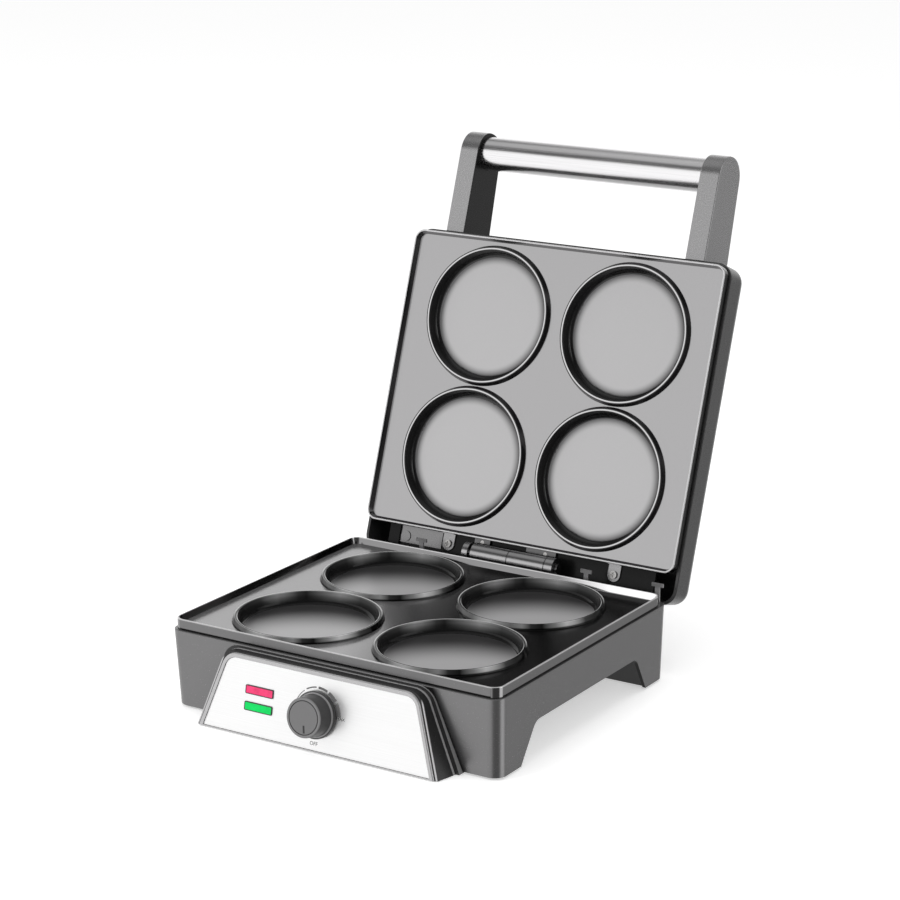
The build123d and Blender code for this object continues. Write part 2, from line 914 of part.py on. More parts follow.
with BuildPart() as terminal_block:
    with Locations(terminal_seat):
        Box(terminal_w, terminal_d, terminal_h, align=(Align.CENTER, Align.CENTER, Align.MIN))
    with Locations(terminal_seat.offset(terminal_h)):
        with Locations((-terminal_w / 6, 0), (terminal_w / 6, 0)):
            Box(
                terminal_slot_w,
                terminal_d,
                terminal_slot_d,
                align=(Align.CENTER, Align.CENTER, Align.MAX),
                mode=Mode.SUBTRACT,
            )

save(terminal_block, "terminal_block")

with BuildPart() as cord_gland:
    with Locations(gland_plane):
        Cone(
            gland_flange_r,
            gland_r,
            gland_flange_t,
            align=(Align.CENTER, Align.CENTER, Align.MIN),
        )
        Cylinder(gland_r, housing_wall + gland_in, align=(Align.CENTER, Align.CENTER, Align.MAX))
        Cylinder(gland_bore_r, 2 * plate_t + 2 * gland_in, mode=Mode.SUBTRACT)

save(cord_gland, "cord_gland")

# Hinge. The base leaf carries the left half of the barrel and the right ear.

hole_r = pin_r + pin_gap
half_start = knuckle_gap / 2
wall_y = housing_back - hinge_back
leaf_top = -barrel_r - knuckle_gap

with BuildPart() as hinge_base_leaf:
    with BuildSketch(hinge_side.offset(-barrel_half)):
        with Locations((wall_y, -leaf_drop)):
            Rectangle(leaf_t, leaf_drop + leaf_top, align=(Align.MIN, Align.MIN))
    extrude(amount=barrel_half + ear_end)
    for x_from, x_to in ((-barrel_half, -half_start), (ear_start, ear_end)):
        with BuildSketch(hinge_side.offset(x_from)):
            Circle(barrel_r)
            with Locations((wall_y, leaf_top)):
                Rectangle(leaf_t, -leaf_top, align=(Align.MIN, Align.MIN))
            Circle(hole_r, mode=Mode.SUBTRACT)
        extrude(amount=x_to - x_from)
    with Locations(rear_wall):
        with Locations(*hinge_spots):
            Cylinder(screw_r, 4 * leaf_t, mode=Mode.SUBTRACT)

save(hinge_base_leaf, "hinge_base_leaf")

with BuildPart() as hinge_lid_leaf:
    with BuildSketch(lid_side.offset(-ear_end)):
        with Locations((-lid_leaf_front, lid_leaf_level)):
            Rectangle(lid_leaf_front + lid_leaf_rear, leaf_t, align=(Align.MIN, Align.MIN))
    extrude(amount=ear_end + barrel_half)
    for x_from, x_to in ((-ear_end, lid_ear_w - ear_end), (half_start, barrel_half)):
        with BuildSketch(lid_side.offset(x_from)):
            Circle(barrel_r)
            Rectangle(web_w, lid_leaf_level, align=(Align.CENTER, Align.MIN))
            Circle(hole_r, mode=Mode.SUBTRACT)
        extrude(amount=x_to - x_from)
    # The front of the leaf is cut away over the half of the barrel that belongs to the base
    with BuildSketch(lid.offset(lid_leaf_level)):
        with Locations((-leaf_notch_left, -lid_leaf_front)):
            Rectangle(leaf_notch_left + leaf_notch_right, leaf_notch_d, align=(Align.MIN, Align.MIN))
    extrude(amount=leaf_t, mode=Mode.SUBTRACT)
    with Locations(lid_under.offset(-lid_leaf_level)):
        with Locations(*leaf_spots):
            Cylinder(screw_r, 4 * leaf_t, mode=Mode.SUBTRACT)

save(hinge_lid_leaf, "hinge_lid_leaf")

with BuildPart() as hinge_pin:
    with BuildSketch(hinge_side.offset(-ear_end - half_start)):
        Circle(pin_r)
    extrude(amount=2 * (ear_end + half_start))
    for way in (-1, 1):
        with BuildSketch(hinge_side.offset(way * (ear_end + half_start))):
            Circle(pin_head_r)
        extrude(amount=way * pin_head_h)

save(hinge_pin, "hinge_pin")
leaf_back = rear_wall.offset(leaf_t)
save(screws(leaf_back, hinge_spots, screw_r, screw_l, screw_head_r, screw_head_h), "hinge_screws")

# Lid cover, a deep shell with four posts that press on the reflector and two that carry the rear strip

cover_level = seam_level + plates_gap
cover_front = -(hinge_back + plate_d + cover_over)
cover_d = cover_rear - cover_front
cover_inside = cover_level + cover_h - cover_wall
cover_side = Plane(
    origin=lid.from_local_coords(Vector(0, cover_front, cover_level)),
    x_dir=(1, 0, 0),
    z_dir=lid.y_dir * cos(radians(cover_draft)) - lid.z_dir * sin(radians(cover_draft)),
)
arm_mid = arm_in_x + arm_w / 2
handle_screw_rows = (-handle_screw_up, -handle_screw_up - handle_screw_pitch)
handle_spots = [(x, y) for x in (-arm_mid, arm_mid) for y in handle_screw_rows]
post_spots = [(-strip_boss_x, -strip_boss_y), (strip_boss_x, -strip_boss_y)]


def cover_block(inset):
    """The shape of the lid cover as a solid, with its rounded back edges, pulled in by a wall."""
    with BuildPart() as block:
        with BuildSketch(spot_on(lid, 0, (cover_front + cover_rear) / 2).offset(cover_level)):
            RectangleRounded(
                plate_w + 2 * cover_over - 2 * inset, cover_d - 2 * inset, cover_corner - inset
            )
        extrude(amount=cover_h - inset, taper=cover_draft)
        fillet(block.faces().sort_by(Axis(lid.origin, lid.z_dir))[-1].edges(), cover_round - inset)
    return block.part


cover_solid = cover_block(0)

with BuildPart() as lid_cover:
    add(cover_solid)
    fillet(lid_cover.faces().sort_by(Axis(lid.origin, lid.z_dir))[0].edges(), cover_edge)
    add(cover_block(cover_wall), mode=Mode.SUBTRACT)
    with Locations(spot_on(lid, 0, -hinge_back - plate_d / 2).offset(seat_level + plates_gap)):
        with GridLocations(lid_boss_pitch_x, lid_boss_pitch_y, 2, 2):
            Cylinder(
                lid_boss_r,
                cover_inside - seat_level + cover_wall / 2,
                align=(Align.CENTER, Align.CENTER, Align.MIN),
            )
    with Locations(lid.offset(strip_level + strip_t)):
        with Locations(*post_spots):
            Cylinder(
                lid_boss_r,
                cover_inside - strip_level - strip_t + cover_wall / 2,
                align=(Align.CENTER, Align.CENTER, Align.MIN),
            )
    with Locations(cover_side.offset(cover_wall)):
        with Locations(*handle_spots):
            Cylinder(screw_r, 4 * cover_wall, mode=Mode.SUBTRACT)

save(lid_cover, "lid_cover")

# Rear strip of the lid, which carries the hinge leaf and the plate tabs

tab_mid_y = tab_reach - tab_w / 2
tab_level = strip_level - tab_t
tab_spots = [(tab_left_x, -tab_mid_y), (tab_right_x, -tab_mid_y)]

with BuildPart() as lid_strip:
    with Locations(lid.offset(strip_level)):
        with Locations((0, (strip_rear - strip_front) / 2)):
            Box(strip_w, strip_front + strip_rear, strip_t, align=(Align.CENTER, Align.CENTER, Align.MIN))
        with Locations(((rib_w - strip_w) / 2, (strip_rear - strip_front) / 2)):
            Box(rib_w, strip_front + strip_rear, rib_rise, align=(Align.CENTER, Align.CENTER, Align.MAX))
    with Locations(lid_under.offset(-strip_level)):
        with Locations(*leaf_spots):
            Cylinder(screw_r, 4 * strip_t, mode=Mode.SUBTRACT)
        with Locations(*tab_spots):
            Cylinder(tab_screw_r, 4 * strip_t, mode=Mode.SUBTRACT)

save(lid_strip, "lid_strip")

# Bracket of bare metal at the left of the strip, with a round raised boss

bracket_x = rib_w - strip_w / 2

with BuildPart() as lid_bracket:
    with Locations(lid.offset(strip_level)):
        with Locations((bracket_x, -strip_front)):
            Box(
                tab_left_x - tab_w / 2 - bracket_gap - bracket_x,
                bracket_d,
                bracket_t,
                align=(Align.MIN, Align.MIN, Align.MAX),
            )
    with Locations(lid.offset(strip_level - bracket_t)):
        with Locations((-strip_boss_x, -strip_boss_y)):
            Cylinder(strip_boss_r, strip_boss_h, align=(Align.CENTER, Align.CENTER, Align.MAX))

save(lid_bracket, "lid_bracket")

# Plate tabs, which hook over the back of the upper plate

plate_back = plates_gap + plate_t

with BuildPart() as plate_tabs:
    for tab_x in (tab_left_x, tab_right_x):
        with BuildSketch(lid.offset(tab_level)):
            with Locations((tab_x, -strip_front - tab_t)):
                Rectangle(tab_w, tab_mid_y + strip_front + tab_t, align=(Align.CENTER, Align.MIN))
            with Locations((tab_x, tab_mid_y)):
                Circle(tab_w / 2)
                Circle(tab_screw_r, mode=Mode.SUBTRACT)
        extrude(amount=tab_t)
        with BuildSketch(lid.offset(plate_back)):
            with Locations((tab_x, -strip_front - tab_t)):
                Rectangle(tab_w, tab_t, align=(Align.CENTER, Align.MIN))
        extrude(amount=strip_level - plate_back)
        with BuildSketch(lid.offset(plate_back)):
            with Locations((tab_x, -strip_front)):
                Rectangle(tab_w, tab_hook, align=(Align.CENTER, Align.MAX))
        extrude(amount=tab_t)

save(plate_tabs, "plate_tabs")
save(
    screws(lid_under.offset(-tab_level), tab_spots, tab_screw_r, screw_l, tab_head_r, tab_head_h, cross=True),
    "tab_screws",
)
leaf_screw_l = strip_t + leaf_t
leaf_screw_spots = [(x, -y) for x, y in leaf_spots]
strip_back = lid.offset(strip_level + strip_t)
save(
    screws(strip_back, leaf_screw_spots, screw_r, leaf_screw_l, screw_head_r, screw_head_h),
    "lid_leaf_screws",
)

# Handle, two arms with a metal tube between them

arm_end = -(hinge_back + plate_d + arm_reach)
arm_root = cover_front + arm_lap
tube_y = arm_end + tube_down
tube_z = arm_front + arm_depth / 2


def handle_arm(way):
    """One arm of the handle, on the left for -1 and on the right for 1, with a socket for the tube."""
    with BuildPart() as arm:
        with BuildSketch(lid_side.offset(way * arm_in_x)) as profile:
            with BuildLine():
                Polyline(
                    (arm_end, arm_front),
                    (arm_root, arm_front),
                    (arm_root, arm_back + (arm_root - arm_end) * tan(radians(arm_taper))),
                    (arm_end, arm_back),
                    close=True,
                )
            make_face()
            fillet(profile.vertices().group_by(Axis.X)[0], arm_round)
            fillet(profile.vertices().group_by(Axis.X)[-1].sort_by(Axis.Y)[-1], arm_lap_round)
        extrude(amount=way * arm_w)
        fillet(arm.faces().filter_by(Axis.X).edges(), arm_edge)
        add(cover_solid, mode=Mode.SUBTRACT)
        with BuildSketch(lid_side.offset(way * arm_in_x)):
            with Locations((tube_y, tube_z)):
                Circle(tube_r + tube_gap)
        extrude(amount=way * tube_in, mode=Mode.SUBTRACT)
        with Locations(cover_side):
            with Locations(*handle_spots):
                Cylinder(
                    screw_r, handle_screw_l, align=(Align.CENTER, Align.CENTER, Align.MAX), mode=Mode.SUBTRACT
                )
    return arm


save(handle_arm(-1), "handle_arm_left")
save(handle_arm(1), "handle_arm_right")

with BuildPart() as handle_tube:
    tube_half = arm_in_x + tube_in - tube_gap
    with BuildSketch(lid_side.offset(-tube_half)):
        with Locations((tube_y, tube_z)):
            Circle(tube_r)
            Circle(tube_r - tube_wall, mode=Mode.SUBTRACT)
    extrude(amount=2 * tube_half)

save(handle_tube, "handle_tube")
save(
    screws(cover_side.offset(cover_wall), handle_spots, screw_r, handle_screw_l, screw_head_r, screw_head_h),
    "handle_screws",
)
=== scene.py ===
import json
from math import cos, pi, radians, sin

import bpy
from mathutils import Matrix, Vector


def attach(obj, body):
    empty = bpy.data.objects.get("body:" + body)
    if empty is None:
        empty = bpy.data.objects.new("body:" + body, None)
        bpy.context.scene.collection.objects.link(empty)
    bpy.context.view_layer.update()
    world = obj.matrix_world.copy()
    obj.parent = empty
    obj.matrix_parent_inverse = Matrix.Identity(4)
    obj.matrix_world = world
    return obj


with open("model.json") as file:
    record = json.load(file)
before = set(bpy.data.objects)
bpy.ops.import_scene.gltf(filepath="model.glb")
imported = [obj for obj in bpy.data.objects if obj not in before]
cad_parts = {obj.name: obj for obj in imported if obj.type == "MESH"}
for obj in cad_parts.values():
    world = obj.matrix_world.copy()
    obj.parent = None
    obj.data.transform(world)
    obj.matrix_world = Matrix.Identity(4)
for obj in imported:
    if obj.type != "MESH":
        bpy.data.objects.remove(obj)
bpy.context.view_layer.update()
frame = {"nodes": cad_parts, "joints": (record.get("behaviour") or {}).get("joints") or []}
nodes = frame["nodes"]
joints = {joint["name"]: joint for joint in frame["joints"]}
hinge_line = Vector(joints["lid_hinge"]["pos_m"])


# The viewpoint of the photograph: a long lens to the right of the cooker and a little above it.
# It is measured from the hinge, so it stays aimed at the cooker wherever the cooker stands.
view_turn = radians(32.160)
camera_data = bpy.data.cameras.new("camera")
camera_data.sensor_width = 36
camera_data.lens = 107.513
camera_data.clip_end = 30
camera = bpy.data.objects.new("camera", camera_data)
camera.location = hinge_line + Vector((0.954784, -1.601987, 0.602614))
camera.rotation_euler = (radians(74.433), 0, view_turn)
bpy.context.scene.collection.objects.link(camera)
bpy.context.scene.camera = camera


# A plain studio: a pale floor, a white surround and soft lamps, all of it only there to show the cooker.
# Polished faces mirror a surround that is white low down on the left, darker overhead and on the right,
# with one bright upright band far round on the right.
def add_node(tree, kind, inputs=None, **settings):
    """A shader node. Each input is given as a value or as the socket that feeds it."""
    made = tree.nodes.new(kind)
    for label, value in settings.items():
        setattr(made, label, value)
    for label, value in (inputs or {}).items():
        if isinstance(value, bpy.types.NodeSocket):
            tree.links.new(value, made.inputs[label])
        else:
            made.inputs[label].default_value = value
    return made


def sums(tree, kind, first, second, third=None):
    """The result of one arithmetic node."""
    inputs = {0: first, 1: second}
    if third is not None:
        inputs[2] = third
    return add_node(tree, "ShaderNodeMath", inputs, operation=kind).outputs[0]


def glide(tree, value, start, end, low=0.0, high=1.0):
    """A number that eases from low to high as the value goes from start to end."""
    spans = {"Value": value, "From Min": start, "From Max": end, "To Min": low, "To Max": high}
    return add_node(tree, "ShaderNodeMapRange", spans, interpolation_type="SMOOTHSTEP").outputs[0]


bpy.context.scene.view_settings.view_transform = "Standard"
world = bpy.data.worlds.new("studio")
bpy.context.scene.world = world
world.use_nodes = True
tree = world.node_tree
tree.nodes.clear()
direction = add_node(tree, "ShaderNodeTexCoord")
toward = add_node(tree, "ShaderNodeSeparateXYZ", {0: direction.outputs["Generated"]}).outputs

shares = {}
for name, along, start, end, low, high in (
    ("fall", "Z", 0.44, 0.58, 1.1, 0.12),
    ("rise", "Z", 0.74, 0.88, 0.0, 0.4),
    ("right", "X", -0.05, 0.4, 1.0, 0.1),
    ("rear", "Y", 0.3, 0.6, 0.0, 0.5),
    ("low", "Z", -0.85, -0.55, 0.45, 1.0),
    ("corner", "X", 0.6, 0.8, 0.0, 1.6),
    ("corner start", "Y", -0.25, 0.0, 0.0, 1.0),
    ("corner end", "Y", 0.35, 0.55, 1.0, 0.0),
):
    shares[name] = glide(tree, toward[along], start, end, low, high)

overhead = sums(tree, "MULTIPLY_ADD", shares["fall"], shares["low"], shares["rise"])
corner = sums(tree, "MULTIPLY", shares["corner"], shares["corner start"])
corner = sums(tree, "MULTIPLY", corner, shares["corner end"])
sides = sums(tree, "MAXIMUM", sums(tree, "MULTIPLY", overhead, shares["right"]), shares["rear"])
shaded = sums(tree, "ADD", sides, corner)
seen = add_node(tree, "ShaderNodeBackground", {"Color": (1, 1, 1, 1), "Strength": 1.0})
mirrored = add_node(tree, "ShaderNodeBackground", {"Color": shaded, "Strength": 1.0})
lighting = add_node(tree, "ShaderNodeBackground", {"Color": (1, 1, 1, 1), "Strength": 0.5})
rays = add_node(tree, "ShaderNodeLightPath").outputs
glossy_mix = add_node(
    tree, "ShaderNodeMixShader", {0: rays["Is Glossy Ray"], 1: lighting.outputs[0], 2: mirrored.outputs[0]}
)
camera_mix = add_node(
    tree, "ShaderNodeMixShader", {0: rays["Is Camera Ray"], 1: glossy_mix.outputs[0], 2: seen.outputs[0]}
)
add_node(tree, "ShaderNodeOutputWorld", {"Surface": camera_mix.outputs[0]})

lamp_aim = Vector((0, 0, 0.12))
for name, spot, size, power in (
    ("key", (-1.5, -1.9, 1.5), (1.6, 1.2), 27),
    ("fill", (1.9, -1.2, 1.3), (1.2, 1.2), 7),
    ("top", (0.0, 0.3, 2.2), (1.6, 1.0), 12),
):
    lamp_data = bpy.data.lights.new(name, "AREA")
    lamp_data.shape = "RECTANGLE"
    lamp_data.size, lamp_data.size_y = size
    lamp_data.energy = power
    lamp = bpy.data.objects.new(name, lamp_data)
    lamp.location = spot
    lamp.rotation_euler = (lamp_aim - Vector(spot)).to_track_quat("-Z", "Y").to_euler()
    lamp.visible_glossy = False
    bpy.context.scene.collection.objects.link(lamp)

floor_width = 12
floor_drop = 0.0003
bpy.ops.object.select_all(action="DESELECT")
bpy.ops.mesh.primitive_plane_add(size=floor_width, location=(0, 0, -floor_drop))
floor = bpy.context.object
floor.name = "floor"
floor.visible_glossy = False
paper = bpy.data.materials.new("floor")
paper.use_nodes = True
tree = paper.node_tree
tree.nodes.clear()
matt = add_node(tree, "ShaderNodeBsdfDiffuse", {"Color": (0.9, 0.9, 0.9, 1)})
rays = add_node(tree, "ShaderNodeLightPath").outputs
glow = add_node(tree, "ShaderNodeEmission", {"Strength": sums(tree, "MULTIPLY", rays["Is Camera Ray"], 0.5)})
lit_paper = add_node(tree, "ShaderNodeAddShader", {0: matt.outputs[0], 1: glow.outputs[0]})
add_node(tree, "ShaderNodeOutputMaterial", {"Surface": lit_paper.outputs[0]})
floor.data.materials.append(paper)


# The housing of the base is one moulding, painted in a fine metallic grey.
# It stands on two legs with an arch between them and carries everything else.
def effect_group(name, sockets):
    """An empty node group. Each socket is (name, way, kind, start value)."""
    group = bpy.data.node_groups.new(name, "ShaderNodeTree")
    for label, way, kind, value in sockets:
        socket = group.interface.new_socket(label, in_out=way, socket_type=f"NodeSocket{kind}")
        if value is not None:
            socket.default_value = value
    return group, group.nodes.new("NodeGroupInput"), group.nodes.new("NodeGroupOutput")


def finish_effect(group, noise, into, out_of):
    """Stretch a noise to run from the group's Low to its High, and let it out as Value."""
    spans = {"Value": noise, "From Min": 0.3, "From Max": 0.7}
    spans.update({"To Min": into.outputs["Low"], "To Max": into.outputs["High"]})
    spread = add_node(group, "ShaderNodeMapRange", spans)
    group.links.new(spread.outputs[0], out_of.inputs["Value"])


mottle, into, out_of = effect_group(
    "fine mottle",
    (
        ("Scale", "INPUT", "Float", 900.0),
        ("Low", "INPUT", "Float", 0.3),
        ("High", "INPUT", "Float", 0.4),
        ("Value", "OUTPUT", "Float", None),
    ),
)
where = add_node(mottle, "ShaderNodeTexCoord")
speckle = add_node(
    mottle,
    "ShaderNodeTexNoise",
    {"Vector": where.outputs["Object"], "Scale": into.outputs["Scale"], "Detail": 3.0},
)
finish_effect(mottle, speckle.outputs[0], into, out_of)


def place_effect(tree, group, **values):
    """An effect placed in a material with its own values."""
    inputs = {label.replace("_", " "): value for label, value in values.items()}
    return add_node(tree, "ShaderNodeGroup", inputs, node_tree=group)


def new_finish(name, metallic, **sockets):
    """An empty material with one surface shader. Returns the material, its tree and the shader."""
    material = bpy.data.materials.new(name)
    material.use_nodes = True
    surface = material.node_tree.nodes["Principled BSDF"]
    surface.inputs["Metallic"].default_value = metallic
    for label, value in sockets.items():
        surface.inputs[label.replace("_", " ")].default_value = value
    return material, material.node_tree, surface


def grey(value):
    """A grey, with a trace less of green in it."""
    return (value, value * 0.99, value, 1)


def blend_colors(tree, factor, first, second):
    """A colour that runs from the first to the second as the factor goes from 0 to 1."""
    return add_node(tree, "ShaderNodeMix", {0: factor, 6: first, 7: second}, data_type="RGBA").outputs[2]


def step_up(tree, value, start, end):
    """A mask that is 0 where the value is short of start and 1 where it is past end."""
    spans = {"Value": value, "From Min": start, "From Max": end}
    return add_node(tree, "ShaderNodeMapRange", spans).outputs[0]


def both(tree, first, second):
    """A mask that holds where both masks do."""
    return sums(tree, "MULTIPLY", first, second)


def axes_of(tree, kind):
    """Where a point of a piece is, for Object, or which way its face looks, for Normal, as X, Y and Z."""
    where = add_node(tree, "ShaderNodeTexCoord")
    return add_node(tree, "ShaderNodeSeparateXYZ", {0: where.outputs[kind]}).outputs


def fine_value(tree, scale, low=0.0, high=1.0):
    """A number between low and high that varies finely over the surface."""
    return place_effect(tree, mottle, Scale=scale, Low=low, High=high).outputs[0]


def roughen(tree, surface, scale, low, high):
    """Give a finish a roughness that varies finely over the surface."""
    tree.links.new(fine_value(tree, scale, low, high), surface.inputs["Roughness"])


def dress(material, *names):
    """Give CAD nodes a finish."""
    for name in names:
        nodes[name].data.materials.clear()
        nodes[name].data.materials.append(material)


paint_dull = (0.268, 0.274)
# The bezel's right side is a sloping line on the front wall, and a painted shadow lies along it
bezel_side_x = 0.1027
bezel_side_slope = 0.405
shade_reach = (0.0075, 0.001)
right_of_middle = (0.06, 0.07)
facing_front = (-0.9, -0.98)
facing_down = (-0.06, -0.16)

housing_paint, tree, surface = new_finish("grey metallic paint", 0.65)
paint = blend_colors(tree, fine_value(tree, 2400.0), grey(0.2), grey(0.21))
facing = axes_of(tree, "Normal")
place = axes_of(tree, "Object")
# Painted shadow on the front wall, along the right side of the bezel
from_bezel = sums(tree, "MULTIPLY_ADD", place[2], bezel_side_slope, place[0])
from_bezel = sums(tree, "SUBTRACT", from_bezel, bezel_side_x)
painted_bezel_shadow = both(tree, step_up(tree, from_bezel, *shade_reach), step_up(tree, facing[1], *facing_front))
painted_bezel_shadow = both(tree, painted_bezel_shadow, step_up(tree, place[0], *right_of_middle))
shaded_paint = blend_colors(tree, painted_bezel_shadow, paint, grey(0.012))
# Faces that look down are painted near black, as shade
paint_shaded_below = blend_colors(tree, step_up(tree, facing[2], *facing_down), shaded_paint, grey(0.006))
tree.links.new(paint_shaded_below, surface.inputs["Base Color"])
roughen(tree, surface, 1400.0, *paint_dull)
dress(housing_paint, "base_housing")


# The cover that closes the underside is plain black plastic, and four rubber feet are screwed to it.
# The cord gland at the rear is of the same plastic. The screws, here and elsewhere, are zinc plated.
def speckled(name, dark, light, metallic, roughness, scale=2400.0, bump=0.0, **sockets):
    """A finish whose colour and roughness vary finely over the surface."""
    material, tree, surface = new_finish(name, metallic, **sockets)
    tint = fine_value(tree, scale)
    tree.links.new(blend_colors(tree, tint, dark, light), surface.inputs["Base Color"])
    roughen(tree, surface, scale * 0.6, *roughness)
    if bump:
        grain = add_node(tree, "ShaderNodeBump", {"Height": tint, "Strength": bump, "Distance": 0.0001})
        tree.links.new(grain.outputs[0], surface.inputs["Normal"])
    return material


black_plastic = speckled("black moulded plastic", grey(0.016), grey(0.024), 0.0, (0.42, 0.55), bump=0.1)
rubber = speckled("matt rubber", grey(0.012), grey(0.02), 0.0, (0.7, 0.85), bump=0.2)
plated_steel = speckled(
    "zinc plated steel", (0.5, 0.49, 0.48, 1), (0.58, 0.57, 0.56, 1), 1.0, (0.26, 0.32), scale=1500.0
)
dress(black_plastic, "bottom_cover", "cord_gland")
dress(rubber, "rubber_feet")
dress(plated_steel, "foot_screws")


# The control bezel is a hollow moulding on the front of the housing, in a smooth metallic grey.
# A pale bead frames the panel, its sides are painted darker as shade and dark reflection, and a thin flange
# closes it against the housing. Painted highlights lie on its top, along the ledge behind the bead and on the
# root and flange lines.
bezel_lean = radians(9.8)
bezel_h = 0.0549
bezel_half_bottom = 0.09595
bezel_half_top = 0.07795
lean_back = (pi / 2 - bezel_lean, 0, 0)
front_origin = hinge_line + Vector((0, -0.2531, -0.0635))
flange_y = hinge_line.y - 0.235523
# Where each painted highlight starts and where it is full, in metres out of the front, past its edge or
# behind it
bead_out = (-0.0015, -0.0013)
ledge_out = (-0.0022, -0.0019)
ledge_past = (-0.0011, -0.0008)
top_out = (-0.0075, -0.0092)
top_facing = (0.4, 0.75)
flange_back = (flange_y + 0.0001, flange_y + 0.0003)
root_start = (flange_y - 0.0022, flange_y - 0.0018)
root_end = (flange_y - 0.0003, flange_y - 0.0006)


def panel_places(tree):
    """The place of a point on the leaning panel: across, up it and out of it, in metres."""
    where = add_node(tree, "ShaderNodeTexCoord")
    turned = add_node(
        tree,
        "ShaderNodeMapping",
        {"Vector": where.outputs["Object"], "Location": front_origin, "Rotation": lean_back},
        vector_type="TEXTURE",
    )
    return add_node(tree, "ShaderNodeSeparateXYZ", {0: turned.outputs[0]}).outputs


def line_between(tree, value, rise, fall):
    """A mask that comes in over one span of a value and goes out over another."""
    return both(tree, step_up(tree, value, *rise), step_up(tree, value, *fall))


bezel_paint, tree, surface = new_finish("bezel metallic grey", 0.55)
across, upward, outward = panel_places(tree)
side_slope = (bezel_half_top - bezel_half_bottom) / bezel_h
half_width = sums(tree, "MULTIPLY_ADD", upward, side_slope, bezel_half_bottom)
beyond = sums(tree, "SUBTRACT", sums(tree, "ABSOLUTE", across, 0.0), half_width)
depth = axes_of(tree, "Object")[1]
facing = axes_of(tree, "Normal")
bead = step_up(tree, outward, *bead_out)
# Painted highlights: the ledge, the flange and root lines, and the top where it looks up
painted_ledge_highlight = both(tree, step_up(tree, outward, *ledge_out), step_up(tree, beyond, *ledge_past))
painted_flange_highlight = step_up(tree, depth, *flange_back)
painted_root_highlight = line_between(tree, depth, root_start, root_end)
painted_top_highlight = both(tree, step_up(tree, facing[2], *top_facing), step_up(tree, outward, *top_out))
# The walls are painted a dark grey as shade and dark reflection
wall = blend_colors(tree, fine_value(tree, 1800.0), grey(0.038), grey(0.043))
topped = blend_colors(tree, painted_top_highlight, wall, grey(0.45))
lined = blend_colors(tree, sums(tree, "MAXIMUM", painted_root_highlight, painted_flange_highlight), topped, grey(0.6))
edged = blend_colors(tree, painted_ledge_highlight, lined, grey(0.55))
tree.links.new(blend_colors(tree, bead, edged, grey(0.52)), surface.inputs["Base Color"])
roughen(tree, surface, 1400.0, *paint_dull)
dress(bezel_paint, "control_bezel")


# The control panel is a pale brushed plate let into the bezel.
# Its marks are printed: a dial arc in five pieces that grow towards MAX, and the words OFF and MAX.
panel_recess = 0.0008
dial_up = 0.0253
print_t = 0.00006
brushed_along = (14.0, 2200.0, 2200.0)

brushing, into, out_of = effect_group(
    "brushed lines",
    (
        ("Stretch", "INPUT", "Vector", (1.0, 1.0, 1.0)),
        ("Low", "INPUT", "Float", 0.3),
        ("High", "INPUT", "Float", 0.45),
        ("Value", "OUTPUT", "Float", None),
    ),
)
where = add_node(brushing, "ShaderNodeTexCoord")
pulled = add_node(
    brushing,
    "ShaderNodeVectorMath",
    {0: where.outputs["Object"], 1: into.outputs["Stretch"]},
    operation="MULTIPLY",
)
lines = add_node(brushing, "ShaderNodeTexNoise", {"Vector": pulled.outputs[0], "Scale": 1.0, "Detail": 4.0})
finish_effect(brushing, lines.outputs[0], into, out_of)


def brushed(name, dark, light, metallic, roughness, stretch):
    """A finish with fine drawn lines in its colour and roughness."""
    material, tree, surface = new_finish(name, metallic)
    tint = place_effect(tree, brushing, Stretch=stretch, Low=0.0, High=1.0)
    tree.links.new(blend_colors(tree, tint.outputs[0], dark, light), surface.inputs["Base Color"])
    dull = place_effect(tree, brushing, Stretch=stretch, Low=roughness[0], High=roughness[1])
    tree.links.new(dull.outputs[0], surface.inputs["Roughness"])
    return material


panel_steel = brushed(
    "pale brushed panel", (0.93, 0.93, 0.93, 1), (0.99, 0.99, 0.99, 1), 0.85, (0.34, 0.4), brushed_along
)
dress(panel_steel, "control_panel")

print_black = speckled("print black", grey(0.02), grey(0.035), 0.0, (0.4, 0.5))
print_grey = speckled("print grey", grey(0.14), grey(0.18), 0.0, (0.4, 0.5))
panel_face = Matrix.Translation(front_origin) @ Matrix.Rotation(lean_back[0], 4, "X")


def settle(piece, frame_of, body):
    """Put a piece that was shaped about the origin in its place, with that place kept in its mesh."""
    bpy.ops.object.select_all(action="DESELECT")
    piece.select_set(True)
    bpy.context.view_layer.objects.active = piece
    piece.matrix_world = frame_of @ piece.matrix_world
    bpy.ops.object.transform_apply(location=True, rotation=True, scale=True)
    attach(piece, body)


def thicken(piece, name, thickness):
    """Give a flat piece its thickness, outwards."""
    thick = piece.modifiers.new(name, "SOLIDIFY")
    thick.thickness = thickness
    thick.offset = 1
    bpy.ops.object.modifier_apply(modifier=thick.name)


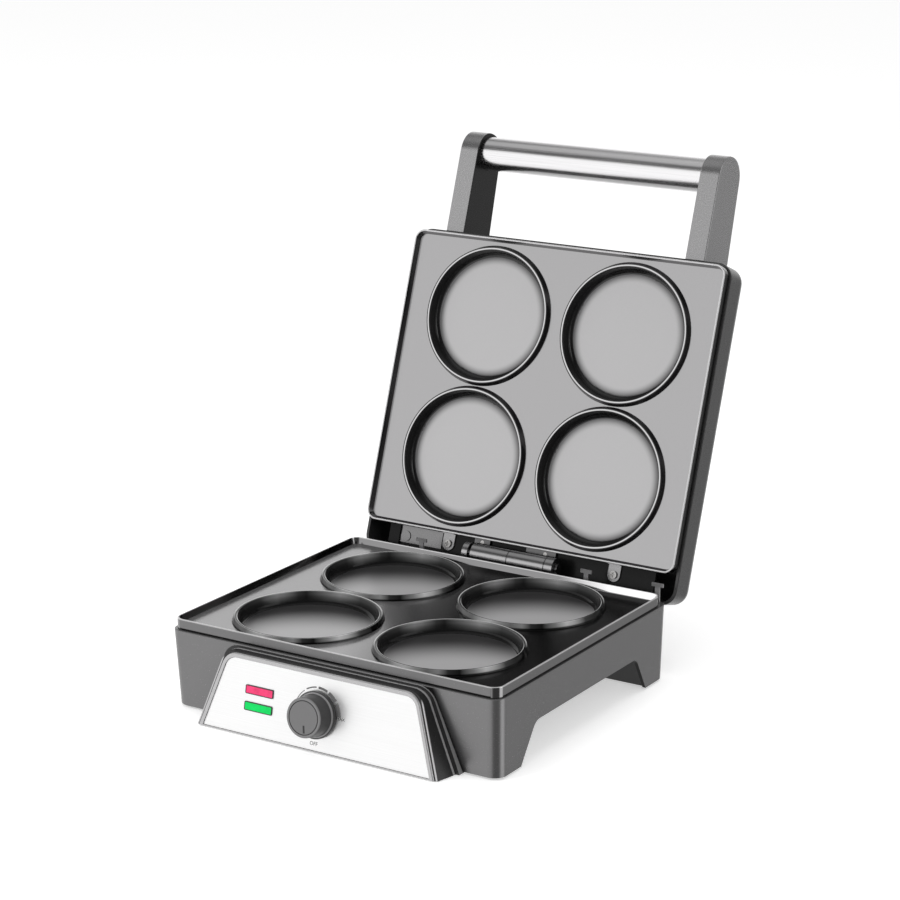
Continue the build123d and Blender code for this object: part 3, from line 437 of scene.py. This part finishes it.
dial_face = panel_face @ Matrix.Translation((0, dial_up, -panel_recess))
for count, (start, end, inner, outer) in enumerate(
    (
        (112, 142, 0.01775, 0.0183),
        (148, 174, 0.0177, 0.0186),
        (179, 202, 0.0172, 0.0188),
        (207, 231, 0.0166, 0.0190),
        (236, 265, 0.0161, 0.0190),
    ),
    start=1,
):
    bpy.ops.object.select_all(action="DESELECT")
    bpy.ops.mesh.primitive_circle_add(vertices=240, radius=inner, fill_type="NOTHING", location=(0, 0, 0))
    mark = bpy.context.object
    mark.name = f"dial_mark_{count}"
    bpy.ops.object.mode_set(mode="EDIT")
    bpy.ops.mesh.select_all(action="SELECT")
    bpy.ops.mesh.extrude_region_move()
    bpy.ops.transform.resize(value=(outer / inner, outer / inner, 1))
    # Angles run clockwise from straight down, as the knob turns
    for angle, side in ((start, 1), (end, -1)):
        turn = radians(angle)
        bpy.ops.mesh.select_all(action="SELECT")
        bpy.ops.mesh.bisect(
            plane_co=(0, 0, 0),
            plane_no=(side * cos(turn), side * -sin(turn), 0),
            clear_outer=True,
        )
    bpy.ops.object.mode_set(mode="OBJECT")
    thicken(mark, "print thickness", print_t)
    mark.data.materials.append(print_grey)
    settle(mark, dial_face, "base")

size_of_capital = 1.4
for word, height, spot in (("OFF", 0.0026, (-0.0004, -0.0198)), ("MAX", 0.0022, (0.0190, 0.0004))):
    bpy.ops.object.select_all(action="DESELECT")
    bpy.ops.object.text_add(location=(0, 0, 0))
    mark = bpy.context.object
    mark.name = f"dial_word_{word.lower()}"
    mark.data.body = word
    mark.data.size = height * size_of_capital
    mark.data.extrude = print_t / 2
    mark.data.align_x = "CENTER"
    mark.data.align_y = "CENTER"
    bpy.ops.object.convert(target="MESH")
    mark = bpy.context.object
    mark.data.materials.append(print_black)
    settle(mark, dial_face @ Matrix.Translation((*spot, print_t / 2)), "base")


# Two clear lenses, red for power and green for ready, sit in slots of the panel over small glow lamps.
# Each is edged by a thin dark moulded frame.
lens_x = -0.0468
lens_w = 0.022
lens_h = 0.0055
red_lens_up = 0.0317
green_lens_up = 0.0204
lens_pitch = red_lens_up - green_lens_up
surround_w = 0.0006
surround_h = 0.0007
surround_corner = 0.0009
surround_round = 0.00012
# Places up the panel are read as shares of the pitch between the lenses, shifted so that each starts at 0
lens_shift_share = 0.44
deep_from_share = (0.42, 0.5)


def clear_plastic(name, color, deep):
    """A coloured lens, deeper in tone towards its upper edge, with a faint painted glow in its own colour."""
    material, tree, surface = new_finish(name, 0.0, Roughness=0.3, Specular_IOR_Level=0.25)
    upward = panel_places(tree)[1]
    up_lens = sums(tree, "MULTIPLY_ADD", upward, 1 / lens_pitch, lens_shift_share)
    up_lens = sums(tree, "FRACT", up_lens, 0.0)
    tone = sums(tree, "ADD", fine_value(tree, 260.0, 0.0, 0.5), step_up(tree, up_lens, *deep_from_share))
    shown = blend_colors(tree, tone, color, deep)
    tree.links.new(shown, surface.inputs["Base Color"])
    # A painted glow in the lens's own colour
    tree.links.new(shown, surface.inputs["Emission Color"])
    surface.inputs["Emission Strength"].default_value = 0.22
    return material


dress(clear_plastic("red lens", (0.92, 0.06, 0.2, 1), (0.5, 0.03, 0.09, 1)), "red_lens")
dress(clear_plastic("green lens", (0.0, 0.72, 0.13, 1), (0.0, 0.5, 0.08, 1)), "green_lens")
glow_lamps = speckled("glow lamp glass", (0.5, 0.3, 0.16, 1), (0.7, 0.45, 0.25, 1), 0.0, (0.1, 0.2))
dress(glow_lamps, "indicator_lamps")

for name, lens_up in (("red_lens_frame", red_lens_up), ("green_lens_frame", green_lens_up)):
    bpy.ops.object.select_all(action="DESELECT")
    bpy.ops.mesh.primitive_plane_add(size=1, location=(0, 0, 0))
    surround = bpy.context.object
    surround.name = name
    bpy.ops.object.mode_set(mode="EDIT")
    bpy.ops.transform.resize(value=(lens_w + surround_w, lens_h + surround_w, 1))
    bpy.ops.mesh.bevel(offset=surround_corner, segments=4, affect="VERTICES")
    bpy.ops.mesh.select_all(action="SELECT")
    bpy.ops.mesh.inset(thickness=surround_w)
    bpy.ops.mesh.delete(type="FACE")
    bpy.ops.object.mode_set(mode="OBJECT")
    thicken(surround, "frame height", surround_h)
    round_over = surround.modifiers.new("soft edges", "BEVEL")
    round_over.width = surround_round
    round_over.segments = 2
    bpy.ops.object.modifier_apply(modifier=round_over.name)
    surround.data.materials.append(print_black)
    settle(surround, panel_face @ Matrix.Translation((lens_x, lens_up, -panel_recess)), "base")


# Behind the panel a thermostat in a ceramic body is held by its nut and turned by a steel shaft.
# The terminal block and the body of the fuse are of the same ceramic, and the fuse is held by a steel clip.
ceramic = speckled("glazed white", (0.62, 0.6, 0.55, 1), (0.74, 0.72, 0.68, 1), 0.0, (0.18, 0.3), scale=600.0)
dress(ceramic, "thermostat", "terminal_block", "thermal_fuse")
dress(plated_steel, "thermostat_nut", "thermostat_shaft", "fuse_clip")


# The knob is a satin grey moulding with a flange, a tapering grip and a flat face ringed by a fine groove.
# The pointer is a black inlay near the edge of the face.
face_out = (0.0140, 0.0144)
face_rim = (0.0115, 0.0117)
groove_rise = (0.01095, 0.0111)
groove_fall = (0.0117, 0.01155)
groove_out = (0.0125, 0.0136)
foot_rise = (0.0019, 0.0021)
foot_fall = (0.0034, 0.0030)
foot_edge = (0.01515, 0.0149)

knob_satin, tree, surface = new_finish("knob satin grey", 0.25)
across, upward, outward = panel_places(tree)
off_axis = sums(tree, "SUBTRACT", upward, dial_up)
squares = sums(tree, "MULTIPLY_ADD", off_axis, off_axis, sums(tree, "MULTIPLY", across, across))
radius = sums(tree, "SQRT", squares, 0.0)
front = step_up(tree, outward, *face_out)
# Painted highlights ring the face's rim and the foot by the flange, and painted shade fills the groove
painted_face_rim_highlight = both(tree, front, step_up(tree, radius, *face_rim))
painted_groove_shade = both(tree, line_between(tree, radius, groove_rise, groove_fall), step_up(tree, outward, *groove_out))
painted_foot_highlight = both(tree, line_between(tree, outward, foot_rise, foot_fall), step_up(tree, radius, *foot_edge))
side = blend_colors(tree, fine_value(tree, 1600.0), grey(0.07), grey(0.08))
faced = blend_colors(tree, front, side, grey(0.19))
ringed = blend_colors(tree, painted_face_rim_highlight, faced, grey(0.22))
grooved = blend_colors(tree, painted_groove_shade, ringed, grey(0.03))
tree.links.new(blend_colors(tree, painted_foot_highlight, grooved, grey(0.4)), surface.inputs["Base Color"])
roughen(tree, surface, 1800.0, 0.3, 0.4)
dress(knob_satin, "knob")
dress(print_black, "knob_pointer")


# The lower cooking plate is die-cast aluminium under a dark glossy non-stick coat, held by four posts.
# The coat shines like dark glass on the walls. Its flats and cups are painted paler for the light they catch,
# and painted highlights, reflections and shade lie along its crests, rings, rim, skirt and cups.
plate_half_w = 0.13
plate_half_d = 0.1107
hinge_to_plate = 0.0111
well_x = 0.0575
well_y = 0.05285

# Where each zone starts and where it is full. Levels are heights over the top of the plate's rim.
tray_level = (-0.0032, -0.0040)
crest_level = (-0.0013, -0.0010)
rim_level = (-0.0006, -0.0003)
cup_level = (-0.0085, -0.0091)
skirt_foot_level = (-0.0060, -0.0063)
ring_level = (-0.0044, -0.0042)
inner_wall_level = (-0.0076, -0.0044)
flank_level = (-0.0026, -0.0044)
flank_foot_level = (-0.0031, -0.0037)
# Distances in from the edge of the plate
rim_in = (0.0038, 0.0032)
skirt_in = (0.0004, 0.0002)
# Distances from the middle of a well, over which a painted line or a wall comes in or goes out
crest_rise, crest_fall = (0.0491, 0.0494), (0.0504, 0.0501)
near_rise, near_fall = (0.0483, 0.0486), (0.0494, 0.0491)
far_rise, far_fall = (0.0500, 0.0503), (0.0514, 0.0511)
under_rise, under_fall = (0.0493, 0.0494), (0.0502, 0.0498)
ring_outside = (0.0530, 0.0527)
ring_inside = (0.0489, 0.0486)
flank_radius = (0.0505, 0.0508)
cup_edge_shade_radius = (0.038, 0.0468)
# How far a face looks up, for the flats and for the steep walls, and the far side of a ring
level_facing = (0.95, 0.985)
steep_facing = (0.9, 0.5)
far_side_from = (-0.15, 0.15)
# A painted shade falls across a cup from its far side, with a bowed edge
cup_shade_from = (-0.012, 0.033)
cup_shade_bow = 6.0
# A painted highlight along the right of the rear rim, and the slanting line past which the tray is painted
# dark as a dark reflection
rear_highlight_y = (0.1060, 0.1075)
rear_highlight_x = (0.048, 0.09)
dark_reflection_slant = 0.35
dark_reflection_from = (-0.035, 0.028)
# Painted reflections round a ring: going from its left to its right, as seen from the front, light and dark
# follow one another
near_reflection_tones = (
    (0.02, 0.1), (0.1, 0.12), (0.16, 0.36), (0.21, 0.42), (0.275, 0.25), (0.35, 0.13), (0.425, 0.24),
    (0.485, 0.03), (0.56, 0.008), (0.65, 0.24), (0.725, 0.64), (0.775, 0.5), (0.85, 0.06), (0.93, 0.004),
)
far_reflection_tones = (
    (0.02, 0.02), (0.14, 0.05), (0.25, 0.27), (0.3, 0.25), (0.4, 0.05), (0.46, 0.02),
    (0.55, 0.11), (0.63, 0.18), (0.71, 0.28), (0.78, 0.18), (0.86, 0.07), (0.98, 0.06),
)


def blend_values(tree, factor, first, second):
    """A number that runs from the first to the second as the factor goes from 0 to 1."""
    return add_node(tree, "ShaderNodeMix", {0: factor, 2: first, 3: second}, data_type="FLOAT").outputs[0]


def vector_sum(tree, kind, first, second=(0, 0, 0)):
    """A vector node. Its outputs are the new vector and the new number."""
    return add_node(tree, "ShaderNodeVectorMath", {0: first, 1: second}, operation=kind).outputs


def ramp(tree, value, stops):
    """A tone read off a row of (spot, tone) stops."""
    made = add_node(tree, "ShaderNodeValToRGB", {0: value})
    for spot, tone in stops[1:-1]:
        made.color_ramp.elements.new(spot)
    for stop, (spot, tone) in zip(made.color_ramp.elements, stops):
        stop.position = spot
        stop.color = (tone, tone, tone, 1)
    return made.outputs[0]


def past_border(tree, side_x, side_y, inwards):
    """A mask that comes in over a border round the plate, given as two distances in from its edge."""
    start, end = inwards
    past_x = step_up(tree, side_x, plate_half_w - start, plate_half_w - end)
    past_y = step_up(tree, side_y, plate_half_d - start, plate_half_d - end)
    return sums(tree, "MAXIMUM", past_x, past_y)


zone_names = (
    "Flat",
    "Crest highlight",
    "Rim top highlight",
    "Rim wall",
    "Cup",
    "Cup edge shade",
    "Cup shade",
    "Foot shade",
    "Ring",
    "Ring reflections and shade",
    "Rear highlight",
    "Right",
    "Outside",
)
plate_zones, into, out_of = effect_group(
    "plate zones",
    [(name, "INPUT", "Vector", None) for name in ("Place", "Facing", "Away", "Across")]
    + [(name, "OUTPUT", "Float", None) for name in zone_names],
)
tree = plate_zones
place = add_node(tree, "ShaderNodeSeparateXYZ", {0: into.outputs["Place"]}).outputs
facing = add_node(tree, "ShaderNodeSeparateXYZ", {0: into.outputs["Facing"]}).outputs
side_x = sums(tree, "ABSOLUTE", place[0], 0.0)
side_y = sums(tree, "ABSOLUTE", place[1], 0.0)
from_well_x = sums(tree, "MULTIPLY_ADD", sums(tree, "SIGN", place[0], 0.0), -well_x, place[0])
from_well_y = sums(tree, "MULTIPLY_ADD", sums(tree, "SIGN", place[1], 0.0), -well_y, place[1])
spoke = add_node(tree, "ShaderNodeCombineXYZ", {0: from_well_x, 1: from_well_y}).outputs[0]
radius = vector_sum(tree, "LENGTH", spoke)["Value"]
way = vector_sum(tree, "NORMALIZE", spoke)[0]
away = vector_sum(tree, "DOT_PRODUCT", way, into.outputs["Away"])["Value"]
across = vector_sum(tree, "DOT_PRODUCT", way, into.outputs["Across"])["Value"]

high_up = step_up(tree, place[2], *crest_level)
level = step_up(tree, facing[2], *level_facing)
steep = step_up(tree, facing[2], *steep_facing)
near_edge = past_border(tree, side_x, side_y, rim_in)
past_edge = past_border(tree, side_x, side_y, skirt_in)
away_by = sums(tree, "MULTIPLY", away, radius)
across_by = sums(tree, "MULTIPLY", across, radius)
bowed = sums(tree, "MULTIPLY_ADD", sums(tree, "MULTIPLY", across_by, across_by), cup_shade_bow, away_by)

# Painted reflections, highlights and shade on the rings of the lower plate
round_ring = sums(tree, "MULTIPLY_ADD", across, 0.5, 0.5)
far_side = step_up(tree, away, *far_side_from)
near_side = step_up(tree, far_side, 1.0, 0.0)
near_reflection = ramp(tree, round_ring, near_reflection_tones)
far_reflection = ramp(tree, round_ring, far_reflection_tones)
ring_reflection = blend_values(tree, far_side, near_reflection, far_reflection)
near_line = line_between(tree, radius, near_rise, near_fall)
far_line = line_between(tree, radius, far_rise, far_fall)
under_line = both(tree, line_between(tree, radius, under_rise, under_fall), high_up)
flank_foot = both(tree, step_up(tree, radius, *flank_radius), step_up(tree, place[2], *flank_foot_level))
painted_dark_lines = sums(tree, "MAXIMUM", flank_foot, both(tree, under_line, near_side))
depth_shade = blend_values(tree, step_up(tree, place[2], *flank_level), 1.0, 0.5)
depth_shade = blend_values(tree, painted_dark_lines, depth_shade, 0.06)
ring_reflection = sums(tree, "MULTIPLY", ring_reflection, depth_shade)
crest_highlight_line = both(tree, high_up, blend_values(tree, far_side, near_line, far_line))
above_tray = both(tree, step_up(tree, place[2], *ring_level), step_up(tree, radius, *ring_outside))
inner_wall = both(tree, step_up(tree, place[2], *inner_wall_level), step_up(tree, radius, *ring_inside))
# The tray is painted dark past a slanting line, as a dark reflection
slant = sums(tree, "MULTIPLY_ADD", place[1], dark_reflection_slant, place[0])
at_rear = step_up(tree, place[1], *rear_highlight_y)

for label, value in (
    ("Flat", both(tree, level, step_up(tree, place[2], *tray_level))),
    ("Crest highlight", both(tree, high_up, line_between(tree, radius, crest_rise, crest_fall))),
    ("Rim top highlight", both(tree, near_edge, step_up(tree, place[2], *rim_level))),
    ("Rim wall", both(tree, both(tree, near_edge, steep), sums(tree, "SUBTRACT", 1.0, past_edge))),
    ("Cup", step_up(tree, place[2], *cup_level)),
    ("Cup edge shade", glide(tree, radius, *cup_edge_shade_radius)),
    ("Cup shade", glide(tree, bowed, *cup_shade_from)),
    ("Foot shade", step_up(tree, place[2], *skirt_foot_level)),
    ("Ring", sums(tree, "MAXIMUM", above_tray, inner_wall)),
    ("Ring reflections and shade", blend_values(tree, crest_highlight_line, ring_reflection, 0.5)),
    ("Rear highlight", both(tree, at_rear, step_up(tree, place[0], *rear_highlight_x))),
    ("Right", step_up(tree, slant, *dark_reflection_from)),
    ("Outside", both(tree, past_edge, steep)),
):
    tree.links.new(value, out_of.inputs[label])


def coating(name, middle, turn, skirt, tones, away=(0, 0, 0), across=(0, 0, 0), one_sided=0.0):
    """The non-stick coat of one plate: where its face is, how far it is turned over, and the light and shade
    painted on it.

    The tones are those of the tray and of the cups, each followed by how metallic it looks; they are painted
    for the light each plate catches. With one_sided at 1 the painted shade, reflections and highlights fall
    as from one side, and away and across say which way that is seen.
    """
    tray_tone, tray_metal, cup_tone, cup_metal = tones
    material, tree, surface = new_finish(name, 0.0, Specular_IOR_Level=0.5 - 0.35 * one_sided)
    where = add_node(tree, "ShaderNodeTexCoord")
    place = add_node(
        tree,
        "ShaderNodeMapping",
        {"Vector": where.outputs["Object"], "Location": middle, "Rotation": (turn, 0, 0)},
        vector_type="TEXTURE",
    )
    facing = add_node(
        tree,
        "ShaderNodeMapping",
        {"Vector": where.outputs["Normal"], "Rotation": (-turn, 0, 0)},
        vector_type="VECTOR",
    )
    zones = place_effect(
        tree, plate_zones, Place=place.outputs[0], Facing=facing.outputs[0], Away=away, Across=across
    ).outputs
    tint = fine_value(tree, 900.0)
    wall = blend_colors(tree, tint, grey(0.008), grey(0.012))
    # On the lower plate the rings carry their painted reflections and shade
    inside = blend_colors(tree, both(tree, zones["Ring"], one_sided), wall, zones["Ring reflections and shade"])
    tray = blend_colors(tree, tint, grey(tray_tone), grey(tray_tone * 1.02))
    # Painted dark reflection on the right of the lower tray
    tray = blend_colors(tree, both(tree, zones["Right"], one_sided), tray, grey(0.012))
    bowl = blend_colors(tree, tint, grey(cup_tone), grey(cup_tone * 1.02))
    # Painted shade: round the cup's edge on the upper plate, across its far side on the lower
    bowl_shade = blend_values(tree, one_sided, zones["Cup edge shade"], zones["Cup shade"])
    # The tray and cup tones stand for the light they catch, and the cups carry painted shade
    painted_tray_and_cups = blend_colors(tree, zones["Cup"], tray, blend_colors(tree, bowl_shade, bowl, grey(0.035)))
    flats = blend_colors(tree, zones["Flat"], inside, painted_tray_and_cups)
    walled = blend_colors(tree, zones["Rim wall"], flats, grey(0.26))
    # Painted shade along the foot of the skirt
    skirt_tone = blend_colors(tree, zones["Foot shade"], skirt, grey(0.006))
    skirted = blend_colors(tree, zones["Outside"], walled, skirt_tone)
    # Painted highlight along the top of the rim
    topped = blend_colors(tree, zones["Rim top highlight"], skirted, grey(0.62))
    # Painted highlight along the ring crests, on the upper plate only
    crest_highlight = both(tree, zones["Crest highlight"], 1.0 - one_sided)
    crested = blend_colors(tree, crest_highlight, topped, grey(0.62))
    # Painted highlight along the right of the lower plate's rear rim
    lit = blend_colors(tree, both(tree, zones["Rear highlight"], one_sided), crested, grey(0.95))
    tree.links.new(lit, surface.inputs["Base Color"])
    bare = both(tree, zones["Flat"], blend_values(tree, zones["Cup"], tray_metal, cup_metal))
    for zone in (zones["Rim wall"], both(tree, zones["Rim top highlight"], 0.4), crest_highlight):
        bare = sums(tree, "MAXIMUM", bare, zone)
    tree.links.new(blend_values(tree, zones["Outside"], bare, 0.6), surface.inputs["Metallic"])
    gloss = fine_value(tree, 700.0, 0.1, 0.12)
    satin = fine_value(tree, 700.0, 0.18, 0.19)
    soft = fine_value(tree, 700.0, 0.29, 0.31)
    painted = fine_value(tree, 1400.0, *paint_dull)
    dull = blend_values(tree, zones["Flat"], gloss, blend_values(tree, zones["Cup"], satin, soft))
    tree.links.new(blend_values(tree, zones["Outside"], dull, painted), surface.inputs["Roughness"])
    return material


lower_middle = hinge_line + Vector((0, -hinge_to_plate - plate_half_d, 0))
# The lower plate's tones are painted darker than the upper plate's, for the light each catches
lower_coat = coating(
    "lower plate coating",
    lower_middle,
    0.0,
    grey(0.2),
    (0.31, 0.7, 0.42, 0.05),
    away=(-sin(view_turn), cos(view_turn), 0),
    across=(cos(view_turn), sin(view_turn), 0),
    one_sided=1.0,
)
dress(lower_coat, "lower_plate")


# Under each plate a heating rod is pressed to the cups by a bright sheet reflector on four screws.
# The rod has the brown stain of heat, and the reflector is drawn sheet.
reflector_lines = (900.0, 20.0, 900.0)
heater_steel = speckled(
    "heat-stained steel", (0.09, 0.075, 0.06, 1), (0.2, 0.17, 0.14, 1), 0.9, (0.3, 0.5), scale=300.0
)
bright_sheet = brushed("bright sheet", grey(0.55), grey(0.7), 1.0, (0.25, 0.4), reflector_lines)
dress(heater_steel, "lower_heating_element", "upper_heating_element")
dress(bright_sheet, "lower_reflector", "upper_reflector")
dress(plated_steel, "lower_reflector_screws", "upper_reflector_screws")


# Three spring clips of plated sheet stand on the deck behind the lower plate. The hinge behind them is
# rolled from plated steel: two leaves, a barrel and one pin, screwed to the rear wall.
barrel_end = (0.0081, 0.0086)
hinge_lines = (40.0, 1500.0, 1500.0)

clip_steel = speckled("spring steel", grey(0.44), grey(0.48), 0.8, (0.3, 0.34), scale=1500.0)
hinge_steel, tree, surface = new_finish("hinge steel", 1.0)
where = add_node(tree, "ShaderNodeTexCoord").outputs["Object"]
spoke = vector_sum(tree, "SUBTRACT", where, hinge_line)[0]
from_pin = vector_sum(tree, "LENGTH", vector_sum(tree, "MULTIPLY", spoke, (0, 1, 1))[0])["Value"]
tint = place_effect(tree, brushing, Stretch=hinge_lines, Low=0.0, High=1.0).outputs[0]
# The barrel is painted lighter than the leaves, as a painted highlight
lit_barrel = blend_colors(tree, tint, grey(0.42), grey(0.46))
leaf_and_barrel = blend_colors(tree, step_up(tree, from_pin, *barrel_end), lit_barrel, grey(0.14))
tree.links.new(leaf_and_barrel, surface.inputs["Base Color"])
dull = place_effect(tree, brushing, Stretch=hinge_lines, Low=0.2, High=0.24)
tree.links.new(dull.outputs[0], surface.inputs["Roughness"])
dress(clip_steel, "plate_clips")
dress(hinge_steel, "hinge_base_leaf", "hinge_lid_leaf", "hinge_pin")
dress(plated_steel, "hinge_screws", "lid_leaf_screws")


# The lid cover is a deep shell with well rounded rear edges, in the same grey paint as the housing, painted
# much darker as shade.
# A black strip behind the upper plate carries the hinge, and a grey bracket is riveted to its left end.
# Painted shade: the cover's grey is far darker than the housing's
cover_paint_in_shade = speckled("lid metallic grey in painted shade", grey(0.058), grey(0.062), 0.45, (0.27, 0.28))
strip_black = speckled(
    "black enamelled strip", grey(0.006), grey(0.01), 0.0, (0.16, 0.24), Specular_IOR_Level=0.15
)
bracket_steel = speckled("bracket steel", grey(0.22), grey(0.25), 1.0, (0.26, 0.3), scale=1500.0)
sheet_steel = speckled("plated sheet steel", grey(0.34), grey(0.37), 1.0, (0.26, 0.3), scale=1500.0)
dress(cover_paint_in_shade, "lid_cover")
dress(strip_black, "lid_strip")
dress(bracket_steel, "lid_bracket")
dress(sheet_steel, "plate_tabs")
dress(plated_steel, "tab_screws")


# The upper plate is cast and coated like the lower one, and hangs face down when the lid is closed.
# Open, it stands on its rear edge, turned about the hinge by the angle through which the lid closes.
lid_angle = radians(joints["lid_hinge"]["range_deg"][1])
plates_gap = 0.0003
closed_middle = Vector((0, -hinge_to_plate - plate_half_d, plates_gap))
upper_middle = hinge_line + Matrix.Rotation(-lid_angle, 3, "X") @ closed_middle
# Its tones are painted paler than the lower plate's, for the light it catches
upper_coat = coating(
    "upper plate coating", upper_middle, pi - lid_angle, grey(0.02), (0.405, 1.0, 0.5, 0.9)
)
dress(upper_coat, "upper_plate")


# The handle is a bright brushed steel tube between two moulded arms with full round ends.
# Each arm runs down over the front of the cover and is screwed to it from inside.
arm_inner_face = (0.09345, 0.09325)

arm_paint, tree, surface = new_finish("arm metallic grey", 0.85)
place = axes_of(tree, "Object")
inner_side = step_up(tree, sums(tree, "ABSOLUTE", place[0], 0.0), *arm_inner_face)
paint = blend_colors(tree, fine_value(tree, 2400.0), grey(0.335), grey(0.355))
tree.links.new(blend_colors(tree, inner_side, paint, grey(0.03)), surface.inputs["Base Color"])
roughen(tree, surface, 1400.0, 0.27, 0.276)
dress(arm_paint, "handle_arm_left", "handle_arm_right")
tube_steel = brushed("brushed tube", grey(0.8), grey(0.92), 1.0, (0.16, 0.28), brushed_along)
dress(tube_steel, "handle_tube")
dress(plated_steel, "handle_screws")
